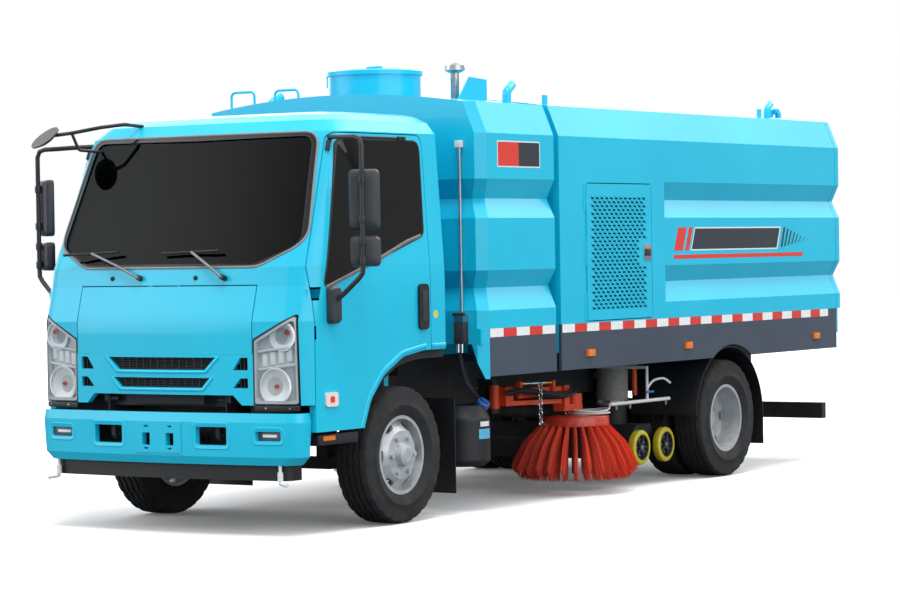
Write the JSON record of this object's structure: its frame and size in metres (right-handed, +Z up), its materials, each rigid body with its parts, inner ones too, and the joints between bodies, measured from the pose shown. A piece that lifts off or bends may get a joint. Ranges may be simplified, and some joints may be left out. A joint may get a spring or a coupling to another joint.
{
  "type": "street sweeper truck",
  "caption": "Cab-over street sweeper truck: tilting cab, steered front wheels, water tank, tipping waste body with tailgate, disc brushes and suction nozzle.",
  "frame": {"origin": "on the ground under the middle of the vehicle", "axes": "+X to the vehicle's left, -Y forward, +Z up"},
  "size_m": [2.4872, 6.6, 2.7519],
  "materials": {
    "body_paint": "gloss",
    "skirt_paint": "satin",
    "black_steel": "satin",
    "glass": "gloss",
    "lamp_glass": "gloss",
    "amber": "gloss",
    "black_plastic": "satin",
    "interior": "matte",
    "tyre": "matte",
    "wheel_silver": "satin",
    "caster_tread": "satin",
    "brush_red": "matte",
    "arm_red": "satin",
    "pipe_steel": "brushed",
    "cast": "matte",
    "galvanised": "matte"
  },
  "bodies": {
    "root": {"frame_rails": "black_steel", "cross_members": "black_steel", "front_axle": "cast", "rear_axle": "cast", "leaf_springs": "black_steel", "drive_line": "cast", "front_bumper": "body_paint", "fog_lamps": "lamp_glass", "wash_lines": "pipe_steel", "mudguards": "black_plastic", "water_tank": "body_paint", "tank_fittings": "pipe_steel", "tank_skirts": "skirt_paint", "side_tanks": "black_plastic", "underrun_bar": "black_steel", "suction_sleeves": "galvanised"},
    "cab": {"cab_shell": "body_paint", "cab_roof": "body_paint", "cab_floor": "black_steel", "cab_steps": "black_plastic", "windscreen": "glass", "grille": "body_paint", "headlamps": "lamp_glass", "cab_interior": "interior", "wipers": "black_plastic", "front_mirror": "black_plastic"},
    "flap": {"front_flap": "body_paint"},
    "cab_door_left": {"door_left": "body_paint", "door_glass_left": "glass", "mirror_left": "black_plastic"},
    "cab_door_right": {"door_right": "body_paint", "door_glass_right": "glass", "mirror_right": "black_plastic"},
    "steer_left": {"knuckle_left": "cast"},
    "steer_right": {"knuckle_right": "cast"},
    "wheel_front_left": {"tyre_front_left": "tyre", "rim_front_left": "wheel_silver"},
    "wheel_front_right": {"tyre_front_right": "tyre", "rim_front_right": "wheel_silver"},
    "wheel_rear_left": {"tyres_rear_left": "tyre", "rims_rear_left": "wheel_silver"},
    "wheel_rear_right": {"tyres_rear_right": "tyre", "rims_rear_right": "wheel_silver"},
    "hatch": {"hatch_lid": "body_paint"},
    "bin": {"waste_body": "body_paint", "bin_skirts": "skirt_paint", "marker_lamps": "amber", "auxiliary_engine": "cast"},
    "gate": {"tailgate": "body_paint"},
    "plant_door_left": {"access_door_left": "body_paint"},
    "plant_door_right": {"access_door_right": "body_paint"},
    "arm_left": {"brush_arm_left": "arm_red"},
    "arm_right": {"brush_arm_right": "arm_red"},
    "brush_left": {"disc_brush_left": "brush_red"},
    "brush_right": {"disc_brush_right": "brush_red"},
    "nozzle": {"suction_nozzle": "black_steel"},
    "caster_fl": {"caster_front_left": "caster_tread"},
    "caster_fr": {"caster_front_right": "caster_tread"},
    "caster_rl": {"caster_rear_left": "caster_tread"},
    "caster_rr": {"caster_rear_right": "caster_tread"}
  },
  "joints": [
    {"name": "cab_tilt", "type": "hinge", "parent": "root", "child": "cab", "pos_m": [0, -3.19, 0.76], "axis": [1, 0, 0], "range_deg": [0, 45]},
    {"name": "flap_lift", "type": "hinge", "parent": "cab", "child": "flap", "pos_m": [0, -3.207, 1.394], "axis": [-1, 0, 0], "range_deg": [0, 60]},
    {"name": "door_left_swing", "type": "hinge", "parent": "cab", "child": "cab_door_left", "pos_m": [0.955, -3.025, 1.4], "axis": [0, 0, -1], "range_deg": [0, 60]},
    {"name": "door_right_swing", "type": "hinge", "parent": "cab", "child": "cab_door_right", "pos_m": [-0.955, -3.025, 1.4], "axis": [0, 0, 1], "range_deg": [0, 60]},
    {"name": "steer_left_turn", "type": "hinge", "parent": "root", "child": "steer_left", "pos_m": [0.7, -2.205, 0.3985], "axis": [0, 0, 1], "range_deg": [-32, 32]},
    {"name": "steer_right_turn", "type": "hinge", "parent": "root", "child": "steer_right", "pos_m": [-0.7, -2.205, 0.3985], "axis": [0, 0, 1], "range_deg": [-32, 32]},
    {"name": "wheel_front_left_spin", "type": "hinge", "parent": "steer_left", "child": "wheel_front_left", "pos_m": [0.83, -2.205, 0.3985], "axis": [1, 0, 0], "continuous": true},
    {"name": "wheel_front_right_spin", "type": "hinge", "parent": "steer_right", "child": "wheel_front_right", "pos_m": [-0.83, -2.205, 0.3985], "axis": [1, 0, 0], "continuous": true},
    {"name": "wheel_rear_left_spin", "type": "hinge", "parent": "root", "child": "wheel_rear_left", "pos_m": [0.7935, 1.61, 0.3985], "axis": [1, 0, 0], "continuous": true},
    {"name": "wheel_rear_right_spin", "type": "hinge", "parent": "root", "child": "wheel_rear_right", "pos_m": [-0.7935, 1.61, 0.3985], "axis": [1, 0, 0], "continuous": true},
    {"name": "hatch_open", "type": "hinge", "parent": "root", "child": "hatch", "pos_m": [-0.31, -1.085, 2.682], "axis": [0, -1, 0], "range_deg": [0, 95]},
    {"name": "bin_tip", "type": "hinge", "parent": "root", "child": "bin", "pos_m": [0, 3.15, 0.88], "axis": [-1, 0, 0], "range_deg": [0, 42]},
    {"name": "tailgate_open", "type": "hinge", "parent": "bin", "child": "gate", "pos_m": [0, 3.237, 2.562], "axis": [1, 0, 0], "range_deg": [0, 80]},
    {"name": "plant_door_left_swing", "type": "hinge", "parent": "bin", "child": "plant_door_left", "pos_m": [1.0813, -0.324, 1.55], "axis": [0, 0, -1], "range_deg": [0, 110]},
    {"name": "plant_door_right_swing", "type": "hinge", "parent": "bin", "child": "plant_door_right", "pos_m": [-1.0813, -0.324, 1.55], "axis": [0, 0, 1], "range_deg": [0, 110]},
    {"name": "arm_left_swing", "type": "hinge", "parent": "root", "child": "arm_left", "pos_m": [0.52, -0.565, 0.64], "axis": [0, 0, -1], "range_deg": [-12, 20]},
    {"name": "arm_right_swing", "type": "hinge", "parent": "root", "child": "arm_right", "pos_m": [-0.52, -0.565, 0.64], "axis": [0, 0, 1], "range_deg": [-12, 20]},
    {"name": "brush_left_spin", "type": "hinge", "parent": "arm_left", "child": "brush_left", "pos_m": [0.735, 0.057, 0.48], "axis": [0, 0, 1], "continuous": true},
    {"name": "brush_right_spin", "type": "hinge", "parent": "arm_right", "child": "brush_right", "pos_m": [-0.735, 0.057, 0.48], "axis": [0, 0, 1], "continuous": true},
    {"name": "nozzle_lower", "type": "slide", "parent": "root", "child": "nozzle", "axis": [0, 0, -1], "range_m": [0, 0.13]},
    {"name": "caster_fl_spin", "type": "hinge", "parent": "nozzle", "child": "caster_fl", "pos_m": [0.88, 0.645, 0.255], "axis": [1, 0, 0], "continuous": true},
    {"name": "caster_fr_spin", "type": "hinge", "parent": "nozzle", "child": "caster_fr", "pos_m": [-0.88, 0.645, 0.255], "axis": [1, 0, 0], "continuous": true},
    {"name": "caster_rl_spin", "type": "hinge", "parent": "nozzle", "child": "caster_rl", "pos_m": [0.88, 0.975, 0.255], "axis": [1, 0, 0], "continuous": true},
    {"name": "caster_rr_spin", "type": "hinge", "parent": "nozzle", "child": "caster_rr", "pos_m": [-0.88, 0.975, 0.255], "axis": [1, 0, 0], "continuous": true}
  ],
  "couplings": [
    {"joint": "steer_right_turn", "follows": "steer_left_turn", "ratio": 1}
  ]
}
